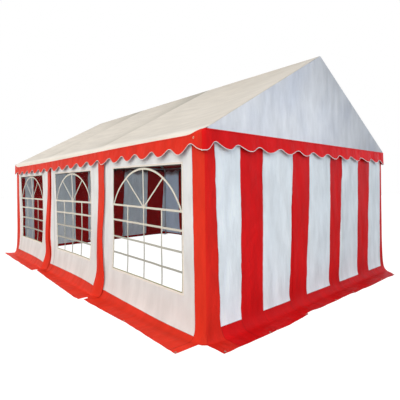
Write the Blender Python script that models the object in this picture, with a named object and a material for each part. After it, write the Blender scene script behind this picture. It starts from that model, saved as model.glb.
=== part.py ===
"""Marquee tent, 6 m long and 4 m wide.

A steel tube frame of four portals carries a sewn cover: a ridge roof, two gable triangles and a scalloped valance.
Wall panels hang from the eave rails and the gable tie bars. Each curves out at its foot into a flap on the ground.
The frame stands along +Y, the front gable faces -Y, and the side with windows faces -X.
All sizes are metres, and the origin is on the ground at the middle of the tent.
"""

import math

import bmesh
import bpy
from mathutils import Vector

# Driving sizes of the tent
WIDTH = 4.0
LENGTH = 6.0
BAYS = 3
RIDGE_HEIGHT = 3.024
EAVE_HEIGHT = 1.908

# Frame tubes, and the connectors' sleeves that they plug into
TUBE_RADIUS = 0.019
SLEEVE_RADIUS = 0.0215
SIDE_SLEEVE_RADIUS = 0.021
SLEEVE_REACH = 0.12
POST_SLEEVE_REACH = 0.10
TUBE_SIDES = 16

# Foot plates
PLATE_SIDE = 0.12
PLATE_THICKNESS = 0.005
PEG_HOLE_RADIUS = 0.007
PEG_HOLE_INSET = 0.022
PEG_HOLE_SIDES = 12

# Fabric, modelled thicker than the real sheet
SHEET = 0.003
CLEAR_SHEET = 0.002
GAP = 0.0003

# Hanging wall panels, which curve out at the foot into a flap that lies on the ground
WALL_TOP = 1.90
DOOR_WIDTH = 1.20
CURVE_HEIGHT = 0.25
CURVE_REACH = 0.12
CURVE_STEPS = 6
CORNER_CURVE_REACH = 0.03
CORNER_EASE = 0.15
SIDE_FLAP_REACH = 0.30
END_FLAP_REACH = 0.24
SIDE_FLAP_CORNER_INSET = 0.037
END_FLAP_CORNER_INSET = -0.013
SEAM_FLAP_INSET = 0.03

# Windows, one in each panel of the -X side
WINDOW_WIDTH = 1.34
WINDOW_SILL = 0.385
WINDOW_HEAD = 1.61
WINDOW_LAP = 0.025

# The cover's overhang beyond the walls, and its scalloped valance
OVERHANG = 0.0223
SCALLOPS_PER_METRE = 3
SCALLOP_SEGMENTS = 8
VALANCE_LONGEST = 0.20
VALANCE_SHORTEST = 0.12

# Sizes worked out from the ones above
SLOPE = (RIDGE_HEIGHT - EAVE_HEIGHT) / (WIDTH / 2)
SLOPE_ANGLE = math.atan(SLOPE)
BAY = LENGTH / BAYS
SHEET_DROP = SHEET / math.cos(SLOPE_ANGLE)
AXIS_DROP = (SHEET + GAP + SLEEVE_RADIUS) / math.cos(SLOPE_ANGLE)
POST_X = WIDTH / 2 - SHEET - GAP - SLEEVE_RADIUS
END_POST_Y = LENGTH / 2 - SHEET - GAP - SLEEVE_RADIUS
RIDGE_AXIS_Z = RIDGE_HEIGHT - AXIS_DROP
EAVE_AXIS_Z = RIDGE_AXIS_Z - SLOPE * POST_X
COVER_X = WIDTH / 2 + OVERHANG
COVER_Y = LENGTH / 2 + OVERHANG
COVER_EDGE_Z = RIDGE_HEIGHT - SLOPE * COVER_X
MITRE_GAP = GAP * math.sqrt(2)

STEEL = ("galvanised_steel", (0.55, 0.57, 0.58), 0.38, 1.0)
WHITE_FABRIC = ("white_fabric", (0.86, 0.86, 0.84), 0.55, 0.0)
RED_FABRIC = ("red_fabric", (0.78, 0.05, 0.03), 0.5, 0.0)
STRIPED_FABRIC = ("striped_fabric", (0.85, 0.60, 0.58), 0.52, 0.0)
CLEAR_FILM = ("clear_film", (0.75, 0.80, 0.82), 0.08, 0.0)


def clear_scene():
    for thing in list(bpy.data.objects):
        bpy.data.objects.remove(thing)


def finish_material(finish):
    """The material of this name, made the first time it is asked for."""
    name, colour, roughness, metallic = finish
    material = bpy.data.materials.get(name)
    if material is None:
        material = bpy.data.materials.new(name)
        material.use_nodes = True
        shader = material.node_tree.nodes["Principled BSDF"]
        shader.inputs["Base Color"].default_value = (*colour, 1.0)
        shader.inputs["Roughness"].default_value = roughness
        shader.inputs["Metallic"].default_value = metallic
    return material


def add_object(name, shape, finish, location=(0, 0, 0), rotation=(0, 0, 0)):
    """Puts a bmesh into the scene as a named object, with its faces pointing out."""
    bmesh.ops.recalc_face_normals(shape, faces=shape.faces)
    mesh = bpy.data.meshes.new(name)
    shape.to_mesh(mesh)
    shape.free()
    mesh.materials.append(finish_material(finish))
    added = bpy.data.objects.new(name, mesh)
    added.location = location
    added.rotation_euler = rotation
    bpy.context.scene.collection.objects.link(added)
    return added


def add_rod(name, start, end, radius, finish, sides=TUBE_SIDES):
    """A round rod between two points, as an object that lies along its own Z."""
    start, end = Vector(start), Vector(end)
    shape = bmesh.new()
    bmesh.ops.create_cone(
        shape, cap_ends=True, segments=sides, radius1=radius, radius2=radius, depth=(end - start).length
    )
    turn = (end - start).to_track_quat("Z", "Y").to_euler()
    rod = add_object(name, shape, finish, (start + end) / 2, turn)
    rod.data.shade_smooth()
    rod.data.set_sharp_from_angle(angle=math.radians(40))
    return rod


def add_box(name, low, high, finish):
    low, high = Vector(low), Vector(high)
    shape = bmesh.new()
    bmesh.ops.create_cube(shape, size=1.0)
    bmesh.ops.scale(shape, vec=high - low, verts=shape.verts)
    return add_object(name, shape, finish, (low + high) / 2)


def make_helper(helper):
    """A shape that is only joined to another one or cut from it."""
    helper.hide_render = True
    helper.display_type = "WIRE"


def combine(base, others, operation):
    for other in others:
        make_helper(other)
        boolean = base.modifiers.new(other.name, "BOOLEAN")
        boolean.object = other
        boolean.operation = operation
        boolean.solver = "EXACT"


def portal_positions():
    """Where the four portals stand along the tent."""
    inner = [-LENGTH / 2 + BAY * n for n in range(1, BAYS)]
    return [-END_POST_Y, *inner, END_POST_Y]


def is_end(y):
    return abs(y) > LENGTH / 2 - BAY / 2


def add_post(name, x, y):
    """A post on its foot plate. The plate reaches inwards, so that the walls can hang straight past it."""
    inward_x = -math.copysign(1, x)
    inward_y = -math.copysign(1, y) if is_end(y) else 0
    outer = SLEEVE_RADIUS
    plate_x = x + inward_x * (PLATE_SIDE / 2 - outer)
    plate_y = y + inward_y * (PLATE_SIDE / 2 - outer)
    top = EAVE_AXIS_Z - POST_SLEEVE_REACH - GAP
    post = add_rod(name, (x, y, PLATE_THICKNESS / 2), (x, y, top), TUBE_RADIUS, STEEL)
    half = PLATE_SIDE / 2
    plate = add_box(
        name + "_plate",
        (plate_x - half, plate_y - half, 0),
        (plate_x + half, plate_y + half, PLATE_THICKNESS),
        STEEL,
    )
    combine(post, [plate], "UNION")
    peg_x = plate_x + inward_x * (half - PEG_HOLE_INSET)
    holes = []
    for n, side in enumerate((-1, 1)):
        peg_y = plate_y + side * (half - PEG_HOLE_INSET)
        holes.append(
            add_rod(
                f"{name}_peg_hole_{n}",
                (peg_x, peg_y, -PLATE_THICKNESS),
                (peg_x, peg_y, 2 * PLATE_THICKNESS),
                PEG_HOLE_RADIUS,
                STEEL,
                PEG_HOLE_SIDES,
            )
        )
    combine(post, holes, "DIFFERENCE")


def add_rail_with_sleeves(name, x, z, branches):
    """A rail along the tent, with a connector at each portal. branches gives each connector's side sleeves."""
    end = END_POST_Y + SLEEVE_RADIUS
    rail = add_rod(name, (x, -end + GAP, z), (x, end - GAP, z), TUBE_RADIUS, STEEL)
    sleeves = []
    for n, y in enumerate(portal_positions()):
        low = max(y - SLEEVE_REACH, -end)
        high = min(y + SLEEVE_REACH, end)
        sleeves.append(add_rod(f"{name}_sleeve_{n}", (x, low, z), (x, high, z), SLEEVE_RADIUS, STEEL))
        for k, reach in enumerate(branches(y)):
            tip = Vector((x, y, z)) + reach
            sleeves.append(
                add_rod(f"{name}_branch_{n}_{k}", (x, y, z), tip, SIDE_SLEEVE_RADIUS, STEEL)
            )
    combine(rail, sleeves, "UNION")


def add_frame():
    """Posts, eave rails, ridge rail, rafters and the two gable tie bars."""
    up_slope = Vector((math.cos(SLOPE_ANGLE), 0, math.sin(SLOPE_ANGLE)))
    for side, sign in (("left", -1), ("right", 1)):
        inward = Vector((-sign * up_slope.x, 0, up_slope.z))

        def eave_branches(y):
            found = [Vector((0, 0, -POST_SLEEVE_REACH)), inward * SLEEVE_REACH]
            if is_end(y):
                found.append(Vector((-sign * SLEEVE_REACH, 0, 0)))
            return found

        add_rail_with_sleeves(f"eave_rail_{side}", sign * POST_X, EAVE_AXIS_Z, eave_branches)
        for n, y in enumerate(portal_positions(), 1):
            add_post(f"post_{side}_{n}", sign * POST_X, y)
            low = Vector((sign * POST_X, y, EAVE_AXIS_Z)) + inward * (SLEEVE_REACH + GAP)
            high = Vector((0, y, RIDGE_AXIS_Z)) - inward * (SLEEVE_REACH + GAP)
            add_rod(f"rafter_{side}_{n}", low, high, TUBE_RADIUS, STEEL)

    def ridge_branches(y):
        return [
            Vector((-up_slope.x, 0, -up_slope.z)) * SLEEVE_REACH,
            Vector((up_slope.x, 0, -up_slope.z)) * SLEEVE_REACH,
        ]

    add_rail_with_sleeves("ridge_rail", 0, RIDGE_AXIS_Z, ridge_branches)
    tie_end = POST_X - SLEEVE_REACH - GAP
    for name, y in (("front_tie_bar", -END_POST_Y), ("back_tie_bar", END_POST_Y)):
        add_rod(name, (-tie_end, y, EAVE_AXIS_Z), (tie_end, y, EAVE_AXIS_Z), TUBE_RADIUS, STEEL)


def extrude_outline(points, depth):
    """A bmesh prism: a closed outline of points, moved along depth."""
    shape = bmesh.new()
    outline = shape.faces.new([shape.verts.new(p) for p in points])
    moved = bmesh.ops.extrude_face_region(shape, geom=[outline])["geom"]
    bmesh.ops.translate(
        shape, vec=depth, verts=[v for v in moved if isinstance(v, bmesh.types.BMVert)]
    )
    return shape


def add_roof_cover():
    """Both roof slopes as one bent sheet, over the ridge."""
    outer = [(-COVER_X, COVER_EDGE_Z), (0, RIDGE_HEIGHT), (COVER_X, COVER_EDGE_Z)]
    inner = [(x, z - SHEET_DROP) for x, z in reversed(outer)]
    points = [(x, -COVER_Y, z) for x, z in outer + inner]
    add_object("roof_cover", extrude_outline(points, Vector((0, 2 * COVER_Y, 0))), WHITE_FABRIC)


def add_gable_triangles():
    for name, sign in (("front_gable", -1), ("back_gable", 1)):
        y = sign * (COVER_Y + GAP)
        points = [(-COVER_X, y, COVER_EDGE_Z), (COVER_X, y, COVER_EDGE_Z), (0, y, RIDGE_HEIGHT)]
        add_object(name, extrude_outline(points, Vector((0, sign * SHEET, 0))), WHITE_FABRIC)


def valance_edge(along):
    """Height of the valance's wavy lower edge, at a distance from the middle of that side."""
    middle = (VALANCE_LONGEST + VALANCE_SHORTEST) / 2
    wave = (VALANCE_LONGEST - VALANCE_SHORTEST) / 2
    return EAVE_HEIGHT - middle - wave * math.cos(2 * math.pi * SCALLOPS_PER_METRE * along)


def add_valance(name, half_length, top, place, thickness):
    """A strip with a wavy lower edge. place turns a distance along it and a height into a point."""
    count = round(2 * half_length * SCALLOPS_PER_METRE) * SCALLOP_SEGMENTS
    shape = bmesh.new()
    columns = []
    for n in range(count + 1):
        along = -half_length + 2 * half_length * n / count
        low = shape.verts.new(place(along, valance_edge(along)))
        columns.append((low, shape.verts.new(place(along, top))))
    for (a, b), (c, d) in zip(columns, columns[1:]):
        shape.faces.new((a, c, d, b))
    moved = bmesh.ops.extrude_face_region(shape, geom=shape.faces[:])["geom"]
    bmesh.ops.translate(
        shape, vec=thickness, verts=[v for v in moved if isinstance(v, bmesh.types.BMVert)]
    )
    add_object(name, shape, RED_FABRIC)


def add_valances():
    for name, sign in (("valance_left", -1), ("valance_right", 1)):
        x = sign * (COVER_X + GAP)
        add_valance(
            name, COVER_Y, COVER_EDGE_Z, lambda along, z, x=x: (x, along, z), Vector((sign * SHEET, 0, 0))
        )
    for name, sign in (("valance_front", -1), ("valance_back", 1)):
        y = sign * (COVER_Y + GAP)
        add_valance(
            name,
            COVER_X + GAP + SHEET,
            COVER_EDGE_Z - GAP,
            lambda along, z, y=y: (along, y, z),
            Vector((0, sign * SHEET, 0)),
        )


def wall_surfaces(curve_reach, flap_reach, has_window):
    """A panel's two surfaces, each as (distance out of the wall, height) from its top to the flap's edge."""
    heights = [WALL_TOP] + ([WINDOW_HEAD, WINDOW_SILL] if has_window else [])
    outer = [(0.0, z) for z in heights]
    inner = [(-SHEET, z) for z in heights]
    rise = CURVE_HEIGHT - SHEET
    for n in range(CURVE_STEPS + 1):
        turn = math.pi / 2 * n / CURVE_STEPS
        point = Vector((curve_reach * (1 - math.cos(turn)), SHEET + rise * (1 - math.sin(turn))))
        inward = Vector((-rise * math.cos(turn), -curve_reach * math.sin(turn))).normalized()
        outer.append(tuple(point))
        inner.append(tuple(point + SHEET * inward))
    outer.append((flap_reach, SHEET))
    inner.append((flap_reach, 0.0))
    return outer, inner


def wall_columns(low, high, corners, window_middle):
    """Places along a panel where its mesh has a column of points, and how far the foot curves out there."""
    columns = [(low, CORNER_CURVE_REACH if corners[0] else CURVE_REACH)]
    if corners[0]:
        columns.append((low + CORNER_EASE, CURVE_REACH))
    if window_middle is not None:
        columns += [(window_middle + side * WINDOW_WIDTH / 2, CURVE_REACH) for side in (-1, 1)]
    if corners[1]:
        columns.append((high - CORNER_EASE, CURVE_REACH))
    columns.append((high, CORNER_CURVE_REACH if corners[1] else CURVE_REACH))
    return columns


def add_wall_panel(name, low, high, corners, flap, place, finish, window_middle=None):
    """A hanging panel from low to high along its wall, with its flap.

    corners tells which of its two ends stand at a corner of the tent, where they are mitred with the next wall.
    flap is how far the flap reaches out, and how far its ends are cut back at a corner and at a seam.
    place turns a distance along the wall, a distance out of it and a height into a point.
    """
    flap_reach, corner_inset, seam_inset = flap
    has_window = window_middle is not None
    columns = wall_columns(low, high, corners, window_middle)
    shape = bmesh.new()
    grids = ([], [])
    for j, (along, curve_reach) in enumerate(columns):
        is_low, is_high = j == 0, j == len(columns) - 1
        outward = -1 if is_low else 1 if is_high else 0
        mitred = (is_low and corners[0]) or (is_high and corners[1])
        inset = corner_inset if mitred else seam_inset
        for grid, surface in zip(grids, wall_surfaces(curve_reach, flap_reach, has_window)):
            column = []
            for out, z in surface[:-1]:
                shift = outward * out if mitred else 0
                column.append(shape.verts.new(place(along + shift, out, z)))
            out, z = surface[-1]
            column.append(shape.verts.new(place(along - outward * inset, out, z)))
            grid.append(column)
    fill_sheet(shape, grids, (2 if corners[0] else 1, 1) if has_window else None)
    add_object(name, shape, finish)


def fill_sheet(shape, grids, hole):
    """Faces on both surfaces of a sheet and round its edges. hole is the one cell that stays open, if any."""
    front, back = grids
    filled = {(j, i) for j in range(len(front) - 1) for i in range(len(front[0]) - 1)} - {hole}
    for j, i in filled:
        for grid in grids:
            shape.faces.new((grid[j][i], grid[j + 1][i], grid[j + 1][i + 1], grid[j][i + 1]))
        edges = {
            (j - 1, i): ((j, i), (j, i + 1)),
            (j + 1, i): ((j + 1, i), (j + 1, i + 1)),
            (j, i - 1): ((j, i), (j + 1, i)),
            (j, i + 1): ((j, i + 1), (j + 1, i + 1)),
        }
        for neighbour, ((a, b), (c, d)) in edges.items():
            if neighbour not in filled:
                shape.faces.new((front[a][b], front[c][d], back[c][d], back[a][b]))


def add_side_walls():
    """Three panels a side. Those of the -X side have a window."""
    flap = (SIDE_FLAP_REACH, SIDE_FLAP_CORNER_INSET, SEAM_FLAP_INSET)
    for side, sign in (("left", -1), ("right", 1)):
        for n in range(BAYS):
            start = -LENGTH / 2 + BAY * n
            add_wall_panel(
                f"{side}_wall_{n + 1}",
                start + (GAP if n else 0),
                start + BAY,
                (n == 0, n == BAYS - 1),
                flap,
                lambda along, out, z, sign=sign: (sign * (WIDTH / 2 + out), along, z),
                WHITE_FABRIC if side == "left" else STRIPED_FABRIC,
                window_middle=start + BAY / 2 if side == "left" else None,
            )


def add_windows():
    """A sheet of clear film in each panel of the -X side, lapped behind its hole."""
    outer = -(WIDTH / 2 - SHEET - GAP)
    half = WINDOW_WIDTH / 2 + WINDOW_LAP
    for n in range(BAYS):
        middle = -LENGTH / 2 + BAY * (n + 0.5)
        add_box(
            f"left_window_{n + 1}",
            (outer, middle - half, WINDOW_SILL - WINDOW_LAP),
            (outer + CLEAR_SHEET, middle + half, WINDOW_HEAD + WINDOW_LAP),
            CLEAR_FILM,
        )


def add_end_walls():
    """Two panels and a zipped door between them, at each gable."""
    flap = (END_FLAP_REACH, END_FLAP_CORNER_INSET, SEAM_FLAP_INSET)
    edge = WIDTH / 2 - MITRE_GAP
    door = DOOR_WIDTH / 2
    spans = (
        ("wall_left", -edge, -door - GAP, (True, False)),
        ("door", -door, door, (False, False)),
        ("wall_right", door + GAP, edge, (False, True)),
    )
    for side, sign in (("front", -1), ("back", 1)):
        for part, low, high, corners in spans:
            add_wall_panel(
                f"{side}_{part}",
                low,
                high,
                corners,
                flap,
                lambda along, out, z, sign=sign: (along, sign * (LENGTH / 2 + out), z),
                STRIPED_FABRIC,
            )


def main():
    clear_scene()
    add_frame()
    add_roof_cover()
    add_gable_triangles()
    add_valances()
    add_side_walls()
    add_windows()
    add_end_walls()


main()
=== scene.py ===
import math

import bmesh
import bpy
from mathutils import Euler, Matrix, Vector, noise


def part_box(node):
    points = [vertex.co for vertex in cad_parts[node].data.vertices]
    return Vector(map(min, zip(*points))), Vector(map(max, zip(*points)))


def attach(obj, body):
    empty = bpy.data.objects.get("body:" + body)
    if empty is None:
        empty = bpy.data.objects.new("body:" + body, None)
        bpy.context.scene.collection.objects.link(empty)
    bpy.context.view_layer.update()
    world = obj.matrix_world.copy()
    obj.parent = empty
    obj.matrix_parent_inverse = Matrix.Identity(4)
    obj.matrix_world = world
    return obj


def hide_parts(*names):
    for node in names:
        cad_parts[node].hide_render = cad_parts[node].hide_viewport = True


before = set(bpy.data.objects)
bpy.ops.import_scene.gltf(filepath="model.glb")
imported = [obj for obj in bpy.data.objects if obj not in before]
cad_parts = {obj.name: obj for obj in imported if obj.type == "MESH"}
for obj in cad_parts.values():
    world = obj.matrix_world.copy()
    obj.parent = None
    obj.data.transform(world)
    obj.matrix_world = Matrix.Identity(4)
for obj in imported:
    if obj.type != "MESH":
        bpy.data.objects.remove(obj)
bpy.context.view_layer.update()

# Main sizes, in metres
RIDGE_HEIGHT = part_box("roof_cover")[1].z
WALL_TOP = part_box("left_wall_1")[1].z
HALF_WIDTH = 2.0
HALF_LENGTH = 3.0
EAVE_HEIGHT = 1.908
SLOPE_ANGLE = math.atan2(RIDGE_HEIGHT - EAVE_HEIGHT, HALF_WIDTH)
PORTALS = (-2.9752, -1.0, 1.0, 2.9752)
END_POSTS = (-1.9752, 1.9752)
BAY_MIDDLES = (-2.0, 0.0, 2.0)
WALL_CORNER_RADIUS = 0.03
VALANCE_CORNER_RADIUS = 0.006

# Cloth, and the longest steps of its grids on the sides that the photo shows and on the others
CLOTH_THICKNESS = 0.0012
FILM_THICKNESS = 0.0008
BINDING_THICKNESS = 0.0006
TAPE_THICKNESS = 0.0012
WALL_STEP = 0.018
FAR_STEP = 0.032

# Foot of the walls: straight part, curve outwards, flap on the ground
CURVE_HEIGHT = 0.25
STRAIGHT = WALL_TOP - CURVE_HEIGHT
CURVE_LENGTH = 0.305
CONTACT = STRAIGHT + CURVE_LENGTH
FLAP_LENGTH = 0.19
FLAP_END = CONTACT + FLAP_LENGTH
FLAP_HEIGHT = 0.0025
FLAP_OVERLAP = 0.0034
# How far out the walls of the long sides and of the gables meet the ground
SIDE_REACH = 0.125
END_REACH = 0.100
# Below this height the cloth of the long sides already leans outwards, by these shares
BROAD_HEIGHT = 0.60
RIGHT_FLARE = 0.25
LEFT_FLARE = 0.27
LAP_FLARE = 0.86
# The first window panel hangs by rules of its own up to here
FIRST_PANEL_END = -1.2

# Shape of the hanging cloth: how far it bulges inwards in each bay, and outwards at the gables
BAY_BELLY = {"left": (0.012, 0.030, 0.036), "right": (0.014, 0.014, 0.014)}
END_BELLY = 0.012
# Share of the usual folds that the window side has
WINDOW_SIDE_CALM = 0.55
# The first window panel hangs down by this much towards its near side, and not at all beyond this place
DROOP = 0.026
DROOP_END = -1.33
# The red strips between the windows lean outwards by this much
STRIP_MIDDLES = (-1.03, 0.97)
STRIP_LEAN = 0.055

# Windows
WINDOW_HALF = 0.677
WINDOW_HEAD = 1.622
WINDOW_SILL = 0.388
FILM_LAP = 0.025
FILM_BEHIND = 0.0022

# Each side: its outward direction, the direction along it, its distance from the middle, half its length
SIDES = {
    "left": (Vector((-1, 0, 0)), Vector((0, 1, 0)), HALF_WIDTH, HALF_LENGTH),
    "right": (Vector((1, 0, 0)), Vector((0, 1, 0)), HALF_WIDTH, HALF_LENGTH),
    "front": (Vector((0, -1, 0)), Vector((1, 0, 0)), HALF_LENGTH, HALF_WIDTH),
    "back": (Vector((0, 1, 0)), Vector((-1, 0, 0)), HALF_LENGTH, HALF_WIDTH),
}
LONG_SIDES = ("left", "right")
SEEDS = {"left": 3.0, "right": 17.0, "front": 31.0, "back": 47.0}


def clamp(value, low=0.0, high=1.0):
    return max(low, min(high, value))


def ease(value):
    """A smooth step from 0 to 1."""
    value = clamp(value)
    return value * value * (3 - 2 * value)


def blend(share, first, second):
    return first + (second - first) * share


def ruler(*stretches):
    """Places of grid lines over stretches that follow each other, each (start, end, longest step)."""
    places = [stretches[0][0]]
    for start, end, step in stretches:
        count = max(1, math.ceil(abs(end - start) / step - 1e-6))
        places += [start + (end - start) * (n + 1) / count for n in range(count)]
    return places


def bell(distance, width):
    """1 at no distance, falling to 0 on a bell curve."""
    return math.exp(-((distance / width) ** 2))


def uneven(x, y, z):
    """A smooth irregular value between -1 and 1, the same each time."""
    return noise.noise(Vector((x, y, z)))


def wave(depth, along, down, seed):
    """One smooth irregular wave in the cloth."""
    return depth * uneven(along, down, seed)


def bay_at(along):
    """Number of the bay, from 0 at the front."""
    return 0 if along < PORTALS[1] else 1 if along < PORTALS[2] else 2


# Cloth: cut flat, hung by a rule that gives each point of the cut its place, then given its thickness


def cut_cloth(name, columns, rows, kept=None):
    """A flat cut with its own UV map in metres along and down it. kept tells which of its cells stay."""
    bpy.ops.object.select_all(action="DESELECT")
    bpy.ops.mesh.primitive_grid_add(
        x_subdivisions=len(columns) - 1, y_subdivisions=len(rows) - 1, size=1, calc_uvs=True
    )
    cloth = bpy.context.object
    cloth.name = name
    mesh = cloth.data
    mesh.name = name
    for vertex in mesh.vertices:
        i = round((vertex.co.x + 0.5) * (len(columns) - 1))
        j = round((0.5 - vertex.co.y) * (len(rows) - 1))
        vertex.co = (columns[i], -rows[j], 0)
    layer = mesh.uv_layers.active.data
    for loop in mesh.loops:
        spot = mesh.vertices[loop.vertex_index].co
        layer[loop.index].uv = (spot.x, -spot.y)
    if kept is not None:
        cut = bmesh.new()
        cut.from_mesh(mesh)
        middles = {face: face.calc_center_median() for face in cut.faces}
        waste = [face for face, spot in middles.items() if not kept(spot.x, -spot.y)]
        bmesh.ops.delete(cut, geom=waste, context="FACES")
        cut.to_mesh(mesh)
        cut.free()
    cloth["cut_area"] = sum(polygon.area for polygon in mesh.polygons)
    return cloth


def hang(cloth, place):
    """Move each point of a cut to where it hangs. place turns (along, down) into a point."""
    for vertex in cloth.data.vertices:
        vertex.co = place(vertex.co.x, -vertex.co.y)


def make_active(piece):
    bpy.ops.object.select_all(action="DESELECT")
    piece.select_set(True)
    bpy.context.view_layer.objects.active = piece


def thicken(piece, thickness, angle=50):
    """Give a sheet its thickness, half of it on each side, and smooth it."""
    make_active(piece)
    solid = piece.modifiers.new("Solidify", "SOLIDIFY")
    solid.thickness = thickness
    solid.offset = 0
    bpy.ops.object.modifier_apply(modifier=solid.name)
    bpy.ops.object.shade_smooth_by_angle(angle=math.radians(angle))


def mark_inner(piece, outward):
    """Tell the inner faces of a sheet from its outer ones, for its finish."""
    inner = piece.data.attributes.new("inner", "FLOAT", "FACE")
    for face, mark in zip(piece.data.polygons, inner.data):
        mark.value = 1.0 if face.normal.dot(outward) < 0 else 0.0


def dress(piece, material, nodes):
    """Finish, body and slot of a new piece, and the CAD nodes that it stands for."""
    piece.data.materials.clear()
    piece.data.materials.append(material)
    if nodes:
        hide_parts(*nodes)
    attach(piece, "root")


# Walls


def on_side(side, along, proud, height, radius, widest=math.pi / 3):
    """A point proud of a side's plane. Near its ends it turns with the rounded corner."""
    outward, forward, depth, half = SIDES[side]
    straight = half - radius
    past = abs(along) - straight
    if past <= 0 or radius == 0:
        return outward * (depth + proud) + forward * along + Vector((0, 0, height))
    turn = min(past / radius, widest)
    sign = 1 if along > 0 else -1
    centre = outward * (depth - radius) + forward * (sign * straight)
    ray = outward * math.cos(turn) + forward * (sign * math.sin(turn))
    return centre + ray * (radius + proud) + Vector((0, 0, height))


def corner_length(half, radius, degrees):
    """How far along a side its cloth goes when it turns so many degrees round the corner."""
    return half - radius + radius * math.radians(degrees)


def slack(side, along, down):
    """How freely the wall cloth can sway: not at the posts, the rail or the ground."""
    posts = PORTALS if side in LONG_SIDES else END_POSTS
    gap = min(abs(along - post) for post in posts)
    return ease((gap - 0.03) / 0.30) * ease((down - 0.05) / 0.35) * (1 - ease((down - 1.45) / 0.45))


def belly(side, along, down):
    """Broad bulge of the wall cloth between posts: outwards is positive."""
    hanging = math.sin(math.pi * clamp(down / 1.95))
    if side in LONG_SIDES:
        depth = -BAY_BELLY[side][bay_at(along)]
        return depth * math.sin(math.pi * clamp((along + HALF_LENGTH) % 2.0 / 2.0)) * hanging
    return END_BELLY * math.cos(math.pi * along / (2 * HALF_WIDTH)) * hanging


def creases(side, along, down):
    """Fine creases left from folding, sharpest in one stripe of the front."""
    seed = SEEDS[side] + 13.7
    slanting = uneven(along * 5.0 + down * 4.0, down * 1.3 - along * 1.3, seed)
    depth = 0.0030 * slanting
    if side == "front":
        weight = bell(along + 1.35, 0.17)
        ridge = uneven(along * 7.0 + down * 9.0, down * 2.0 - along * 3.0, seed + 5)
        depth += 0.0055 * weight * (0.5 - 1.6 * abs(ridge))
    return depth


def sway(side, along, down):
    """Folds of the hanging cloth, out of its plane."""
    seed = SEEDS[side]
    calm = WINDOW_SIDE_CALM if side == "left" else 1.0
    folds = wave(0.014, along * 1.3, down * 0.45, seed)
    folds += wave(0.009, along * 3.2 + down * 0.5, down * 0.8, seed + 5.3)
    folds += wave(0.005, along * 6.5 - down * 1.8, down * 1.6 + along, seed + 9.1)
    edge = 0.0018 * abs(uneven(along * 4.0, down * 2.3, seed + 21.0))
    loose = belly(side, along, down) + calm * (folds + creases(side, along, down))
    return slack(side, along, down) * loose + edge


def gather(side, along, down):
    """How far the cloth of a side is drawn along it: the windows of the further bays narrow downwards."""
    if side != "left" or along < FIRST_PANEL_END:
        leaning = 0.0
        if side == "left":
            # The far edge of the first window leans away from it
            leaning = clamp((along + 2.0) / WINDOW_HALF) * (1 - ease((along + 1.31) / 0.11))
        drawn = leaning * 0.036 * (clamp((down - 0.28) / 1.23) - 0.45)
        return drawn + wave(0.006, along * 1.5, down * 2.0, SEEDS[side] + 8.0) * slack(side, along, down)
    middle = BAY_MIDDLES[1] if along < PORTALS[2] else BAY_MIDDLES[2]
    offset = along - middle
    share = clamp(abs(offset) / WINDOW_HALF) * (1 - ease((abs(offset) - 0.70) / 0.24))
    # The far edge of a window is drawn in more than its near edge
    pull, place = (0.085, 2.0) if offset > 0 else (0.030, 6.0)
    flutter = wave(0.020, 3.0 * middle + place, down * 2.2, 83.0)
    flutter += wave(0.010, 5.0 * middle + place, down * 5.0, 89.0)
    drawn = -math.copysign(pull * ease((down - 0.2) / 1.5), offset)
    return share * (drawn + flutter * ease(down / 0.4) * (1 - ease((down - 1.4) / 0.5)))


def droop(side, along, down):
    """How far the first window panel hangs down towards its near side."""
    if side != "left" or along > DROOP_END:
        return 0.0
    share = clamp((DROOP_END - along) / 1.34) * ease((along + 2.97) / 0.2)
    rising = (1 - 0.5 * ease((down - 1.2) / 0.3)) * (1 - ease((down - 1.56) / 0.3))
    return DROOP * share * ease(down / 0.55) * rising


def flare(side, along):
    """How broadly the foot of a wall bends outwards: most where a panel laps over the one before it."""
    if side != "left":
        return RIGHT_FLARE if side == "right" else 0.0
    if along < FIRST_PANEL_END:
        return LEFT_FLARE * ease((along + HALF_LENGTH) / 0.8)
    seam = PORTALS[1] if along < 0.8 else PORTALS[2]
    if along < seam + 0.06:
        return blend(ease((along - seam + 0.14) / 0.18), LEFT_FLARE, LAP_FLARE)
    return LEFT_FLARE + (LAP_FLARE - LEFT_FLARE) * math.exp(-(along - seam - 0.06) / 0.36)


def foot_reach(side, along):
    """How far out the wall cloth meets the ground: less at a corner."""
    if side in LONG_SIDES:
        gap = max(0.0, SIDES[side][3] - abs(along))
        return SIDE_REACH - 0.085 * math.exp(-gap / 0.13)
    return END_REACH - 0.075 * math.exp(-max(0.0, HALF_WIDTH + along) / 0.16)


def strip_lean(side, along, height):
    """How far the strips between the windows lean outwards above their foot."""
    if side != "left":
        return 0.0
    gap = min(abs(along - strip) for strip in STRIP_MIDDLES)
    return STRIP_LEAN * bell(gap, 0.14) * ease((1.45 - height) / 0.9) * ease((height - 0.2) / 0.35)


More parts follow.
